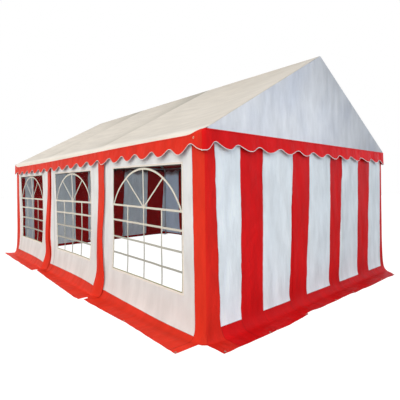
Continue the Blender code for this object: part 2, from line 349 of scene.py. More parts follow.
def wall_point(side, along, down, lift, flap_reach):
    """Where the wall cloth of a side is, at a place along it and a length down from its top."""
    seed = SEEDS[side]
    reach = foot_reach(side, along)
    foot = clamp((down - STRAIGHT) / CURVE_LENGTH)
    turn = math.pi / 2 * foot
    height = WALL_TOP - down
    if foot > 0:
        height = FLAP_HEIGHT + (CURVE_HEIGHT - FLAP_HEIGHT) * (1 - math.sin(turn))
    tight = reach * (1 - math.cos(turn)) ** 1.35
    broad = (reach + 0.028) * clamp(1 - height / BROAD_HEIGHT) ** 2
    proud = blend(flare(side, along), tight, broad) + strip_lean(side, along, height)
    bulge = uneven(along * 3.0, 2.0, seed + 2.0)
    proud += 0.007 * foot**2 * bulge
    if down > CONTACT:
        share = (down - CONTACT) / FLAP_LENGTH
        edge = flap_reach + 0.004 * uneven(along * 1.7, 8.0, seed + 2.0)
        proud = blend(share, proud, edge)
        lump = uneven(along * 4.0, down * 6.0, seed + 4.0)
        lump += 0.5 * uneven(along * 11.0, down * 9.0, seed + 6.0)
        height = FLAP_HEIGHT + 0.008 * ease(share * 1.5) * clamp(0.30 + lump)
        height += lift
    else:
        proud += lift * (1 - foot**3)
        height += lift * foot**3
    proud += sway(side, along, down)
    height -= droop(side, along, down)
    radius = WALL_CORNER_RADIUS
    if side not in LONG_SIDES:
        radius = 0.0 if down > CONTACT - 0.001 else blend(foot, radius, 0.004)
        tucked = ease((abs(along) - SIDES[side][3] + 0.03) / 0.01)
        proud -= 0.0018 * tucked
    return on_side(side, along + gather(side, along, down), proud, height, radius)


def lap(free_edge, seam, looseness, along, down):
    """Lift and sideways swing of a strip that laps over the panel before it, most at its free edge.

    looseness is how freely it waves: 1 between the windows and little at the doors.
    """
    free = ease((seam + 0.05 - along) / (seam + 0.05 - free_edge))
    flutter = uneven(down * 1.9, 4.0, free_edge * 3.0)
    ripple = uneven(down * 4.6, 9.0, free_edge * 3.0)
    foot = clamp((down - STRAIGHT) / CURVE_LENGTH)
    hold = ease(down / 0.3)
    lift = (0.0025 + 0.003 * looseness) * ease((seam + 0.05 - along) / 0.06)
    lift += looseness * free * hold * (0.010 + 0.010 * flutter + 0.004 * ripple) * (1 - 0.6 * foot)
    swing = free * hold * (0.012 * flutter + 0.008 * ripple) * (1 - foot)
    return lift, swing


def read_table(rows, along):
    """The values of a table at a place along a side. Each row starts with its own place."""
    for low, high in zip(rows, rows[1:]):
        if along <= high[0]:
            share = clamp((along - low[0]) / (high[0] - low[0]))
            return [blend(share, a, b) for a, b in zip(low[1:], high[1:])]
    return rows[-1][1:]


def add_wall_cloth(name, side, span, material, flap, outline, lap_edge=None, window=None):
    """One wall panel, from span[0] to span[1] along its side.

    flap gives the ends of its flap, and window the middle of its window. outline gives, at places along it,
    the flap's reach and how far the cloth shifts along the side, first where it meets the ground and then at
    the flap's edge. lap_edge gives the free edge, seam and looseness of the strip that laps over the panel
    before it. Returns the cloth and the size of its flat cut.
    """
    step = WALL_STEP if side in ("left", "front") else FAR_STEP
    first, last = flap
    window_edges = () if window is None else (window - WINDOW_HALF, window + WINDOW_HALF)
    edges = sorted({*span, *flap, *window_edges})
    columns = ruler(*[(a, b, step) for a, b in zip(edges, edges[1:])])
    head, sill = WALL_TOP - WINDOW_HEAD, WALL_TOP - WINDOW_SILL
    rows = [(0.0, STRAIGHT, step)]
    if window is not None:
        rows = [(0.0, head, step), (head, sill, step), (sill, STRAIGHT, step)]
    tail = CONTACT + 0.085
    rows += [(STRAIGHT, CONTACT, 0.015), (CONTACT, tail, 0.014), (tail, FLAP_END, 0.018)]

    def kept(along, down):
        if window is not None and abs(along - window) < WINDOW_HALF and head < down < sill:
            return False
        if down < CONTACT:
            return span[0] < along < span[1]
        if window is not None and lap_edge is not None and along < first:
            return down < tail
        return first < along < last

    def place(along, down):
        lift, swing = lap(*lap_edge, along, down) if lap_edge is not None else (0.0, 0.0)
        reach, at_ground, at_edge = read_table(outline, along)
        share = (down - CONTACT) / FLAP_LENGTH
        if share > 0:
            swing += blend(share, at_ground, at_edge)
            # The last part lies over the flap of the next panel
            lift += FLAP_OVERLAP * ease((along - last + 0.16) / 0.08)
        else:
            swing += at_ground * clamp((down - STRAIGHT) / CURVE_LENGTH) ** 2
        return wall_point(side, along + swing, down, lift, reach)

    cloth = cut_cloth(name + "_cloth", columns, ruler(*rows), kept)
    hang(cloth, place)
    thicken(cloth, CLOTH_THICKNESS)
    dress(cloth, material, [name])
    return cloth, (edges[-1] - edges[0], FLAP_END)


def film_point(along, height, lift):
    """A point on the window film, which follows the wall cloth of the window side."""
    down = WALL_TOP - height
    middle = min(BAY_MIDDLES, key=lambda place: abs(along - place))
    to_edge = min(WINDOW_HALF - abs(along - middle), height - WINDOW_SILL, WINDOW_HEAD - height)
    inside = ease(to_edge / 0.08)
    shiver = wave(0.0030, along * 5.0, height * 3.0, 71.0)
    shiver += wave(0.0016, along * 11.0, height * 7.0, 77.0)
    outward, forward, depth, _ = SIDES["left"]
    foot_bend = 0.153 * flare("left", along) * clamp(1 - height / BROAD_HEIGHT) ** 2
    proud = sway("left", along, down) + foot_bend - FILM_BEHIND + inside * shiver + lift
    height -= droop("left", along, down)
    drawn = along + gather("left", along, down)
    return outward * (depth + proud) + forward * drawn + Vector((0, 0, height))


# Roof: over the ridge, down both slopes, round the eaves and a short hem

ROOF_STEP = 0.034
RIDGE_RADIUS = 0.030
EAVE_RADIUS = 0.052
EAVE_OUT = 2.0262
HEM = 0.045
CLOTH_APEX = RIDGE_HEIGHT - CLOTH_THICKNESS / 2
RIDGE_ARC = RIDGE_RADIUS * SLOPE_ANGLE
RIDGE_TANGENT = RIDGE_RADIUS * math.tan(SLOPE_ANGLE / 2)
EAVE_ARC = EAVE_RADIUS * (math.pi / 2 - SLOPE_ANGLE)
EAVE_CENTRE_X = EAVE_OUT - EAVE_RADIUS
EAVE_START_X = EAVE_CENTRE_X + EAVE_RADIUS * math.sin(SLOPE_ANGLE)
EAVE_START_Z = CLOTH_APEX - EAVE_START_X * math.tan(SLOPE_ANGLE)
EAVE_CENTRE_Z = EAVE_START_Z - EAVE_RADIUS * math.cos(SLOPE_ANGLE)
SLOPE_LENGTH = EAVE_START_X / math.cos(SLOPE_ANGLE) - RIDGE_TANGENT
ROLL_START = RIDGE_ARC + SLOPE_LENGTH
ROLL_END = ROLL_START + EAVE_ARC
ROOF_REACH = ROLL_END + HEM
# Half the length of the roof cloth, and how far it sags between rafters
RAKE = 3.0223
ROOF_SAG = 0.060


def roof_profile(length, lift):
    """Distance out and height of the roof cloth, at a length down from the ridge and lifted off it."""
    if length < RIDGE_ARC:
        turn = length / RIDGE_RADIUS
        centre = CLOTH_APEX - RIDGE_RADIUS / math.cos(SLOPE_ANGLE)
        return (RIDGE_RADIUS + lift) * math.sin(turn), centre + (RIDGE_RADIUS + lift) * math.cos(turn)
    if length < ROLL_START:
        along = RIDGE_TANGENT + length - RIDGE_ARC
        out = along * math.cos(SLOPE_ANGLE) + lift * math.sin(SLOPE_ANGLE)
        return out, CLOTH_APEX - along * math.sin(SLOPE_ANGLE) + lift * math.cos(SLOPE_ANGLE)
    if length < ROLL_END:
        turn = SLOPE_ANGLE + (length - ROLL_START) / EAVE_RADIUS
        radius = EAVE_RADIUS + lift
        return EAVE_CENTRE_X + radius * math.sin(turn), EAVE_CENTRE_Z + radius * math.cos(turn)
    return EAVE_OUT + lift, EAVE_CENTRE_Z - (length - ROLL_END)


def roof_sag(length, along):
    """How far the roof cloth hangs below its slope between rafters."""
    bay = bay_at(along)
    share = clamp((along - PORTALS[bay]) / (PORTALS[bay + 1] - PORTALS[bay]))
    across = clamp((length - RIDGE_ARC) / SLOPE_LENGTH)
    free = math.sin(math.pi * share) * math.sin(math.pi * across)
    fall = ROOF_SAG * math.sin(math.pi * share) ** 0.85 * math.sin(math.pi * across) ** 0.75
    wrinkle = wave(0.014, along * 0.8, length * 1.5, 91.0 + bay)
    wrinkle += wave(0.005, along * 3.4, length * 1.1, 95.0)
    wrinkle += wave(0.003, along * 9.0 + length * 2.0, length * 1.3, 97.0)
    return fall - free * wrinkle


def roof_place(across, down):
    """The roof cloth is cut with across over both slopes and down along the ridge."""
    along = down - RAKE
    length = abs(across)
    lift = -roof_sag(length, along) if RIDGE_ARC < length < ROLL_START else 0.0
    out, height = roof_profile(length, lift)
    tuck = 0.030 * ease((length - ROLL_START + 0.03) / 0.04) * ease((abs(along) - RAKE + 0.09) / 0.08)
    return Vector((math.copysign(out, across), along - math.copysign(tuck, along), height))


# Valances: a strip with a scalloped lower edge and a white binding

# Places along a side where the edge hangs lowest and where it is highest, in turns, uneven as they were sewn
EDGE_TURNS = {
    "left": (-3.018, -2.84, -2.705, -2.53, -2.38, -2.234, -2.069, -1.896, -1.757, -1.601, -1.445, -1.296,
             -1.11, -0.968, -0.809, -0.649, -0.459, -0.295, -0.11, 0.05, 0.229, 0.409, 0.588, 0.777,
             0.936, 1.105, 1.274, 1.443, 1.602, 1.781, 1.939, 2.118, 2.286, 2.455, 2.623, 2.8, 2.99),
    "front": (-2.005, -1.884, -1.708, -1.58, -1.403, -1.246, -1.096, -0.876, -0.741, -0.532, -0.381,
              -0.20, -0.033, 0.148, 0.338, 0.478, 0.659, 0.813, 1.011, 1.146,
              1.401, 1.512, 1.672, 1.832, 2.0),
}
EDGE_TURNS["right"] = tuple(-place for place in reversed(EDGE_TURNS["left"]))
EDGE_TURNS["back"] = tuple(place + 0.012 * math.sin(5 * place) for place in EDGE_TURNS["front"])
VALANCE_PROUD = 0.0285
# The edge of a valance stands out: by this much all along, more at each lobe, and unevenly
SIDE_FLARE = (0.017, 0.005, 0.010)
END_FLARE = (0.012, 0.008, 0.007)
DEEPEST = 0.215


def edge_phase(side, along):
    """Turns of the scalloped edge up to a place along a side: whole numbers where it hangs lowest."""
    turns = EDGE_TURNS[side]
    n = 0
    while n < len(turns) - 2 and along >= turns[n + 1]:
        n += 1
    return (n + (along - turns[n]) / (turns[n + 1] - turns[n])) / 2


def scallop_wave(side, along):
    """1 where the edge hangs lowest and -1 at the highest points between, which are the narrower ones."""
    turn = 2 * math.pi * edge_phase(side, along)
    return math.cos(turn) + 0.20 * math.sin(turn) ** 2


def valance_depth(side, along):
    """Length of the valance from its seam to its edge."""
    half = SIDES[side][3]
    near_corner = bell(half - abs(along), 0.16)
    # The notch beside the near corner reaches higher than the others
    if side in LONG_SIDES:
        middle = 0.144 - 0.006 * ease((along + 3) / 6)
        middle += 0.0255 * near_corner - 0.031 * bell(along + 2.86, 0.09)
        swing = 0.033
    else:
        middle = 0.150 + 0.022 * near_corner - 0.025 * bell(along + 1.90, 0.06)
        swing = 0.026
    middle += 0.006 * uneven(along * 1.1, 3.0, SEEDS[side] + 50)
    return middle + swing * scallop_wave(side, along)


def valance_point(side, along, down, lift=0.0):
    """A point of a valance, at a length down from its seam with the roof."""
    half = SIDES[side][3]
    to_corner = max(0.0, half - abs(along))
    raised = bell(to_corner, 0.11)
    if side in LONG_SIDES:
        start = ROLL_START + 0.004 + (EAVE_ARC - 0.006) * (1 - raised)
        if side == "left":
            start += 0.032 * ease((along + 2.4) / 4.0)
        out, height = roof_profile(start + down, 0.0020)
        proud = out - HALF_WIDTH
    else:
        height = EAVE_HEIGHT - 0.001 - down
        rise = max(0.0, height - EAVE_CENTRE_Z)
        corner_out = EAVE_CENTRE_X + math.sqrt(max(0.0, EAVE_RADIUS**2 - rise**2))
        rounded = min(VALANCE_PROUD, corner_out - HALF_WIDTH + 0.0035)
        turned = ease((abs(along) - half + VALANCE_CORNER_RADIUS) / (1.4 * VALANCE_CORNER_RADIUS))
        proud = blend(turned, VALANCE_PROUD, rounded)
    hang_share = clamp(down / 0.2)
    seed = SEEDS[side] + 60
    lobe = scallop_wave(side, along)
    always, at_lobes, unevenly = SIDE_FLARE if side in LONG_SIDES else END_FLARE
    out_by = always + at_lobes * lobe + unevenly * uneven(along * 2.4, 1.0, seed)
    if side == "left":
        # The second lobe from the near corner curls out most
        out_by += 0.014 * bell(along + 2.74, 0.09)
    pinned = 1 - 0.8 * bell(to_corner, 0.08)
    proud += pinned * hang_share**1.6 * max(0.0, out_by) + lift
    crinkle = wave(0.0032, along * 5.0 + down * 6, down * 4.0, seed + 3)
    crinkle += wave(0.0022, along * 14.0 - down * 9, down * 7.0, seed + 4)
    proud += pinned * crinkle * ease(down / 0.04)
    if side == "left":
        # A crease runs from the near eyelet up to the corner
        off_line = (along + 2.955) - 0.9 * (down - 0.008)
        pull = bell(off_line, 0.010) * ease((0.085 - down) / 0.03) * ease((-2.86 - along) / 0.03)
        proud += 0.0022 * pull
    swing = pinned * hang_share**2 * 0.010 * uneven(along * 2.9, 5.0, seed + 6)
    swing -= pinned * hang_share**2 * 0.003 * math.sin(2 * math.pi * edge_phase(side, along))
    return on_side(side, along + swing, proud, height, VALANCE_CORNER_RADIUS, math.pi / 2)


# Folds of the binding: place in the flat strip, distance past the valance's edge, distance in front of it
BINDING = (
    (0.0, -0.0055, 0.0012), (0.004, -0.002, 0.0016), (0.0065, 0.0009, 0.0010), (0.0085, 0.0009, -0.0010),
    (0.011, -0.002, -0.0016), (0.015, -0.0055, -0.0012),
)


def add_valance(side, red, white):
    """A valance and the binding along its edge."""
    half = corner_length(SIDES[side][3], VALANCE_CORNER_RADIUS, 14 if side in LONG_SIDES else 82)
    inner = SIDES[side][3] - VALANCE_CORNER_RADIUS - 0.004
    columns = ruler((-half, -inner, 0.003), (-inner, inner, 0.0115), (inner, half, 0.003))
    rows = ruler((0.0, 0.06, 0.008), (0.06, DEEPEST, 0.011))
    cloth = cut_cloth(f"valance_cloth_{side}", columns, rows)

    def true_down(along, down):
        """The grid is cut straight. Its lines are drawn up so that its last one follows the scallops."""
        return down * valance_depth(side, along) / DEEPEST

    area = 0.0
    for a, b in zip(columns, columns[1:]):
        area += (b - a) * valance_depth(side, (a + b) / 2)
    for loop in cloth.data.uv_layers.active.data:
        loop.uv.y = true_down(loop.uv.x, loop.uv.y)
    hang(cloth, lambda along, down: valance_point(side, along, true_down(along, down)))
    thicken(cloth, CLOTH_THICKNESS)
    dress(cloth, red, [f"valance_{side}"])

    binding = cut_cloth(f"valance_binding_{side}", columns, [fold[0] for fold in BINDING])
    folds = {round(place, 4): (past, front) for place, past, front in BINDING}

    def bound(along, down):
        past_edge, in_front = folds[round(down, 4)]
        edge = true_down(along, DEEPEST) + past_edge
        return valance_point(side, along, edge, in_front)

    hang(binding, bound)
    thicken(binding, BINDING_THICKNESS)
    dress(binding, white, [])


# Finishes


class Nodes:
    """A node tree under construction."""

    def __init__(self, tree):
        self.tree = tree

    def join(self, value, socket):
        if isinstance(value, bpy.types.NodeSocket):
            self.tree.links.new(value, socket)
        elif value is not None:
            socket.default_value = value

    def add(self, kind, inputs, output=0, **settings):
        """A new node. inputs gives values or other nodes' outputs by the names or numbers of its sockets."""
        node = self.tree.nodes.new("ShaderNode" + kind)
        for key, value in settings.items():
            setattr(node, key, value)
        for key, value in inputs.items():
            self.join(value, node.inputs[key])
        return node.outputs[output]

    def math(self, operation, first, second=None, clamped=False):
        return self.add("Math", {0: first, 1: second}, operation=operation, use_clamp=clamped)

    def plus(self, first, second):
        return self.math("ADD", first, second)

    def minus(self, first, second, clamped=False):
        return self.math("SUBTRACT", first, second, clamped)

    def times(self, first, second):
        return self.math("MULTIPLY", first, second)

    def mix(self, share, first, second, how="MIX"):
        inputs = {0: share, 6: first, 7: second}
        return self.add("Mix", inputs, output=2, data_type="RGBA", blend_type=how)


class Finish(Nodes):
    """A material under construction."""

    def __init__(self, name):
        self.material = bpy.data.materials.new(name)
        self.material.use_nodes = True
        super().__init__(self.material.node_tree)
        self.shader = self.tree.nodes["Principled BSDF"]

    def set(self, **values):
        """Numbers and colours on the shader's own sockets, or links to them."""
        for name, value in values.items():
            socket = name.replace("_", " ").title().replace("Ior", "IOR")
            self.join(value, self.shader.inputs[socket])

    def show_with(self, share, other):
        """Show a share of another shader with the main one."""
        shown = self.add("MixShader", {0: share, 1: self.shader.outputs[0], 2: other})
        self.join(shown, self.tree.nodes["Material Output"].inputs["Surface"])

    def tinted(self, colour, shade):
        """A colour made lighter or darker by a shade."""
        grey = self.add("CombineColor", {0: shade, 1: shade, 2: shade})
        return self.mix(1.0, colour, grey, "MULTIPLY")

    def noise(self, vector, scale, detail, roughness=0.5):
        inputs = {"Vector": vector, "Scale": scale, "Detail": detail, "Roughness": roughness}
        return self.add("TexNoise", inputs)

    def stretch(self, vector, scale, turn=0.0):
        """The same coordinates, scaled unevenly and turned."""
        return self.add("Mapping", {"Vector": vector, "Scale": scale, "Rotation": (0, 0, turn)})

    def bump(self, height, distance, strength, under=None):
        """Relief, on top of the relief under it."""
        inputs = {"Height": height, "Distance": distance, "Strength": strength, "Normal": under}
        return self.add("Bump", inputs)

    def between(self, value, low, high):
        """1 where a value lies between two others, else 0."""
        return self.times(self.math("GREATER_THAN", value, low), self.math("LESS_THAN", value, high))

    def near(self, value, place, width):
        """1 at a place, falling to 0 at a width from it."""
        gap = self.math("ABSOLUTE", self.minus(value, place))
        return self.minus(1.0, self.math("DIVIDE", gap, width), clamped=True)

    def fade(self, value, start, end):
        """0 at start, 1 at end, even in between."""
        return self.math("DIVIDE", self.minus(value, start), end - start, clamped=True)

    def most(self, values):
        total = values[0]
        for value in values[1:]:
            total = self.math("MAXIMUM", total, value)
        return total


SIDE_RED = (0.86, 0.044, 0.021, 1)
END_RED = (0.79, 0.009, 0.011, 1)
SIDE_WHITE = (0.88, 0.94, 0.99, 1)
# Painted shade low down on the white of the window side
SIDE_WHITE_PAINTED_SHADE = (0.79, 0.81, 0.83, 1)
END_WHITE = (0.86, 0.92, 0.95, 1)
ROOF_CREAM = (0.65, 0.63, 0.578, 1)
# Painted shade of the roof
ROOF_PAINTED_SHADE = (0.36, 0.355, 0.30, 1)
# Painted highlight of the roof along the eaves
ROOF_PAINTED_HIGHLIGHT = (0.78, 0.77, 0.73, 1)
RED_GLOW = (0.48, 0.002, 0.002, 1)
WHITE_GLOW = (0.86, 0.94, 1.0, 1)
VALANCE_SHADE = (0.22, 0.008, 0.008, 1)
# Painted shadow inside along the eaves
EAVE_PAINTED_SHADOW_RED = (0.70, 0.012, 0.012, 1)
ROOF_GLOW = (0.5, 0.5, 0.48, 1)
GABLE_WHITE = (0.73, 0.76, 0.80, 1)
GABLE_CLOUD = (0.59, 0.63, 0.71, 1)
GABLE_GLOW = (0.5, 0.52, 0.56, 1)
SIDE_VALANCE_RED = (0.81, 0.034, 0.017, 1)
END_VALANCE_RED = (0.77, 0.008, 0.009, 1)
VALANCE_GLOW = (0.5, 0.02, 0.01, 1)
BINDING_WHITE = (0.72, 0.70, 0.70, 1)
HEM_WHITE = (0.80, 0.79, 0.76, 1)
BAR_CREAM = (0.66, 0.67, 0.61, 1)
# Painted shade low down on the window bars
BAR_PAINTED_SHADE = (0.36, 0.38, 0.35, 1)
# Painted shadow line along the top of the window film's edge
FILM_EDGE_PAINTED_SHADOW = (0.05, 0.045, 0.04, 1)
FILM_EDGE_OLIVE = (0.30, 0.30, 0.16, 1)
# Spacing of the weave, length of two stitches and width of a seam, in metres
WEAVE_SPACING = 0.0021
STITCH_SPACING = 0.0065
SEAM = 0.006
# Where the red foot of each kind of wall starts, counted down from the top
WINDOW_WHITE_END = 1.770
SIDE_WHITE_END = 1.835
BACK_WHITE_END = 1.808
FRONT_WHITE_END = 1.790
FRONT_FOOT_SLOPE = 0.010
# Usual width of a scallop
SCALLOP = 0.333
# Places of the white part of a window panel and of the painted shadow line where the next panel's strip laps
# over it, counted from the near strip's inner edge
PANEL_WHITE = 1.785
PANEL_LAP_SHADOW = 1.702


def coated_fabric(name, pattern, through, crease, wander=0.0):
    """Coated, woven fabric.

    pattern takes the finish and the cut's own coordinates, and gives the colour, the colour of the light
    that comes through, and the seam lines, which are drawn darker, partly as painted shade. through is the
    share of that light, crease how creased the cloth is, in its relief and in the painted shade of its
    creases, and wander how far the edges of its stripes stray.
    """
    made = Finish(name)
    spot = made.add("UVMap", {})
    along = made.add("SeparateXYZ", {"Vector": spot})
    down = along.node.outputs[1]
    pattern_along = along
    if wander:
        drift = made.noise(made.stretch(spot, (1.0, 2.2, 1.0)), 2.2, 2.0)
        pattern_along = made.plus(along, made.times(made.minus(drift, 0.5), wander))
    colour, glow, seams_and_shadow_lines = pattern(made, pattern_along, down)

    mottle = made.noise(spot, 1.7, 4.0, 0.6)
    fine = made.noise(spot, 38.0, 3.0, 0.65)
    cross = made.noise(made.stretch(spot, (2.6, 0.7, 1.0), -0.7), 3.1, 3.0, 0.55)
    shade = made.plus(made.plus(made.times(mottle, 0.16), made.times(fine, 0.05)), 0.895 + 0.08 * crease)
    # Painted shade in the creases, along the slanting noise that also gives their relief
    shade = made.minus(shade, made.times(made.fade(cross, 0.35, 0.65), 0.16 * crease))
    # The seam lines are drawn darker: partly the seams' own colour, partly painted shade along them
    shade = made.minus(shade, made.times(seams_and_shadow_lines, 0.36))
    toned = made.tinted(colour, shade)

    warp = made.math("SINE", made.times(along, 2 * math.pi / WEAVE_SPACING))
    weft = made.math("SINE", made.times(down, 2 * math.pi / WEAVE_SPACING))
    weave = made.bump(made.times(warp, weft), 0.00012, 0.6)
    crumple = made.noise(made.stretch(spot, (1.0, 0.6, 1.0), 0.5), 9.0, 5.0, 0.6)
    crumpled = made.bump(crumple, 0.007 * crease, 0.6, weave)
    crossed = made.bump(cross, 0.022 * crease, 0.6, crumpled)
    stitch = made.math("SINE", made.times(made.plus(along, down), 2 * math.pi / STITCH_SPACING))
    ridge = made.plus(seams_and_shadow_lines, made.times(made.times(seams_and_shadow_lines, stitch), 0.2))
    relief = made.bump(ridge, 0.0018, 0.9, crossed)
    rough = made.plus(made.times(fine, 0.16), 0.37)
    made.set(base_color=toned, roughness=rough, normal=relief, specular_ior_level=0.06)
    made.show_with(through, made.add("BsdfTranslucent", {"Color": glow, "Normal": relief}))
    return made.material


def striped(made, stripes, foot, down, red, white, lines):
    """The colour, glow and seams of white stripes on red, which end at the red foot."""
    white_part = made.times(stripes, made.math("LESS_THAN", down, foot))
    lines = made.most([*lines, made.times(stripes, made.near(down, foot, SEAM))])
    return made.mix(white_part, red, white), made.mix(white_part, RED_GLOW, WHITE_GLOW), lines


def valance_shade(made, along, down, colour):
    """A colour, dark red above a scalloped line, where the valance outside holds back the light."""
    scallop = made.math("COSINE", made.times(along, 2 * math.pi / SCALLOP))
    edge = made.plus(made.times(scallop, 0.03), 0.085)
    return made.mix(made.math("LESS_THAN", down, edge), colour, VALANCE_SHADE)


def front_stripes(made, along, down):
    """Stripes of the front, sewn slightly aslant, with red at its corners and painted shade that darkens it
    to the right.
    """
    # Edges of each white stripe: place at the top, shift for each metre down
    bounds = (
        (-1.877, 0.033), (-1.515, -0.013), (-1.160, -0.021), (-0.605, -0.062), (-0.240, -0.068),
        (0.286, -0.055), (0.606, -0.082), (1.116, -0.050), (1.520, -0.070), (1.925, -0.030),
    )
    edges = [made.plus(made.times(down, slant), place) for place, slant in bounds]
    past = [made.math("GREATER_THAN", along, edge) for edge in edges]
    stripes = made.most([made.times(a, made.minus(1.0, b)) for a, b in zip(past[::2], past[1::2])])
    # Beside the near corner the red is nearer to that of the window side, most of all low down
    sidelong = made.plus(made.times(made.fade(down, 0.1, 1.7), 0.5), 0.1)
    red = made.mix(made.times(made.minus(1.0, past[0]), sidelong), END_RED, SIDE_RED)
    # Painted shade, darker to the right and above the foot's bend, and painted light on the flap
    dark = made.minus(1.04, made.times(made.fade(along, -1.9, 1.0), 0.19))
    low = made.minus(dark, made.times(made.fade(down, 1.58, 1.76), 0.17))
    low = made.plus(low, made.times(made.fade(down, 1.86, 1.95), 0.09))
    red, white = made.tinted(red, low), made.tinted(END_WHITE, dark)
    lines = [made.near(along, edge, SEAM) for edge in edges]
    foot = made.plus(made.times(along, FRONT_FOOT_SLOPE), FRONT_WHITE_END)
    return striped(made, stripes, foot, down, red, white, lines)


def back_stripes(made, along, down):
    """Stripes of the back, which show through the windows."""
    leaning = made.minus(along, made.times(down, 0.045))
    bounds = ((-1.405, -0.665), (-0.144, 0.374), (0.692, 1.244), (1.649, 1.833))
    parts = [made.between(leaning, *bounds[0])] + [made.between(along, a, b) for a, b in bounds[1:]]
    corner = made.plus(made.times(down, 0.075), -1.975)
    stripes = made.most(parts + [made.math("LESS_THAN", along, corner)])
    lines = [made.near(along, place, SEAM) for pair in bounds[1:] for place in pair]
    red = valance_shade(made, along, down, END_RED)
    white = valance_shade(made, along, down, END_WHITE)
    return striped(made, stripes, BACK_WHITE_END, down, red, white, lines)


def side_stripes(made, along, down):
    """Stripes of the windowless side: white between red ones at each metre, and a last one of its own."""
    bounds = (0.175, 0.825)
    gap = made.math("PINGPONG", along, 1.0)
    usual = made.times(made.between(gap, *bounds), made.math("LESS_THAN", along, 2.05))
    stripes = made.most([usual, made.between(along, 2.36, 2.98)])
    red = valance_shade(made, along, down, SIDE_RED)
    white = valance_shade(made, along, down, SIDE_WHITE)
    lines = [made.times(usual, made.near(gap, place, 2 * SEAM)) for place in bounds]
    return striped(made, stripes, SIDE_WHITE_END, down, red, white, lines)


def window_panel(made, along, down):
    """A white panel between red strips, with a red foot, counted from the near strip's inner edge, with
    painted shade and light.
    """
    # Painted shade: the white darkens towards the bottom
    white = made.mix(made.fade(down, 0.5, 1.7), SIDE_WHITE, SIDE_WHITE_PAINTED_SHADE)
    # The second line is a painted shadow where the next panel's strip laps over
    lines = [made.near(along, 0.0, SEAM), made.near(along, PANEL_LAP_SHADOW, 0.014)]
    # The foot catches more light than the flap on the ground, which the photo shows alike
    # Painted shade darkens the foot and painted light brightens the flap
    foot = made.minus(1.0, made.times(made.fade(down, 1.62, 1.78), 0.13))
    red = made.tinted(SIDE_RED, made.plus(foot, made.times(made.fade(down, 1.86, 1.95), 0.26)))
    panel = made.between(along, 0.0, PANEL_WHITE)
    return striped(made, panel, WINDOW_WHITE_END, down, red, white, lines)


def painted_eave_shadow(made, colour, place):
    """A colour, with a painted dark red shadow band inside along the eaves and over the walls, where the
    valance outside holds back the light.
    """
    inside = made.add("Attribute", {}, output=2, attribute_name="inner")
    return made.mix(made.times(inside, place), colour, EAVE_PAINTED_SHADOW_RED)


def roof_tones(made, along, down):
    """Cream, with painted shade greyer beyond each rib and towards the ridge, a painted highlight along the
    eaves, and a painted shadow band under the eaves.
    """
    place = made.minus(down, RAKE)
    slope = made.math("ABSOLUTE", along)
    # Painted shade, greyer beyond each rib and fading away from it
    shade = []
    for rib in PORTALS[1:3]:
        past = made.minus(place, rib)
        fading = made.minus(1.0, made.math("DIVIDE", past, 1.3), clamped=True)
        shade.append(made.times(made.times(fading, fading), made.math("GREATER_THAN", past, 0.0)))
    upper = made.minus(1.0, made.fade(slope, 0.0, 1.7))
    grey = made.times(made.most(shade), made.plus(made.times(upper, 0.50), 0.55))
    colour = made.mix(grey, ROOF_CREAM, ROOF_PAINTED_SHADE)
    # Painted shade, darker towards the ridge
    colour = made.tinted(colour, made.minus(1.0, made.times(made.times(upper, upper), 0.13)))
    # Painted highlight along the eaves
    eave = made.fade(slope, ROLL_START - 0.14, ROLL_START - 0.01)
    colour = made.mix(eave, colour, ROOF_PAINTED_HIGHLIGHT)
    # Painted shadow band on the underside by the eaves
    colour = painted_eave_shadow(made, colour, made.fade(slope, ROLL_START - 0.27, ROLL_START - 0.26))
    welds = [made.near(place, rib, 0.012) for rib in PORTALS[1:3]]
    rims = [made.near(down, edge, 0.010) for edge in (0.022, 2 * RAKE - 0.022)]
    return colour, ROOF_GLOW, made.times(made.most(welds + rims), 0.35)


def gable_tones(made, along, down):
    """Cool white with faint blue-grey clouds, painted shade to the right and towards the top, and a painted
    shadow band inside along its foot.
    """
    spot = made.add("UVMap", {})
    clouds = made.fade(made.noise(made.stretch(spot, (1.0, 0.8, 1.0)), 1.5, 2.0), 0.45, 0.75)
    colour = made.mix(clouds, GABLE_WHITE, GABLE_CLOUD)
    # Painted shade: darker to the right and towards the top
    to_right = made.times(made.fade(along, -0.3, 1.3), 0.37)
    to_top = made.times(made.fade(down, 0.67, 0.17), 0.20)
    colour = made.tinted(colour, made.minus(1.0, made.plus(to_right, to_top)))
    # Painted shadow band inside along the gable's foot
    colour = painted_eave_shadow(made, colour, made.fade(down, 0.96, 0.97))
    return colour, GABLE_GLOW, made.times(made.near(down, 1.116, 0.008), 0.3)


def plain(colour):
    """No pattern: one colour, with a stitch line near the upper edge."""
    return lambda made, along, down: (colour, VALANCE_GLOW, made.times(made.near(down, 0.012, 0.004), 0.7))


def galvanised():
    """Zinc coat on steel tube: dull, with faint spangle and streaks."""
    made = Finish("galvanised_tube")
    spot = made.add("TexCoord", {}, output=3)
    spangle = made.add("TexVoronoi", {"Vector": spot, "Scale": 160.0})
    cloud = made.noise(spot, 9.0, 4.0)
    tone = made.plus(made.times(spangle, 0.10), made.times(cloud, 0.22))
    made.set(base_color=made.mix(tone, (0.66, 0.69, 0.72, 1), (0.48, 0.51, 0.55, 1)))
    made.set(metallic=0.6, roughness=made.plus(made.times(cloud, 0.25), 0.32))
    made.set(normal=made.bump(spangle, 0.0003, 0.3))
    return made.material


def window_film():
    """Clear soft film with a faint haze."""
    made = Finish("window_film")
    spot = made.add("UVMap", {})
    ripple = made.noise(made.stretch(spot, (1.0, 2.2, 1.0), 0.3), 5.0, 3.0)
    made.set(base_color=(0.08, 0.10, 0.12, 1), roughness=0.12, alpha=0.02, specular_ior_level=0.15)
    made.set(normal=made.bump(ripple, 0.004, 0.5))
    return made.material


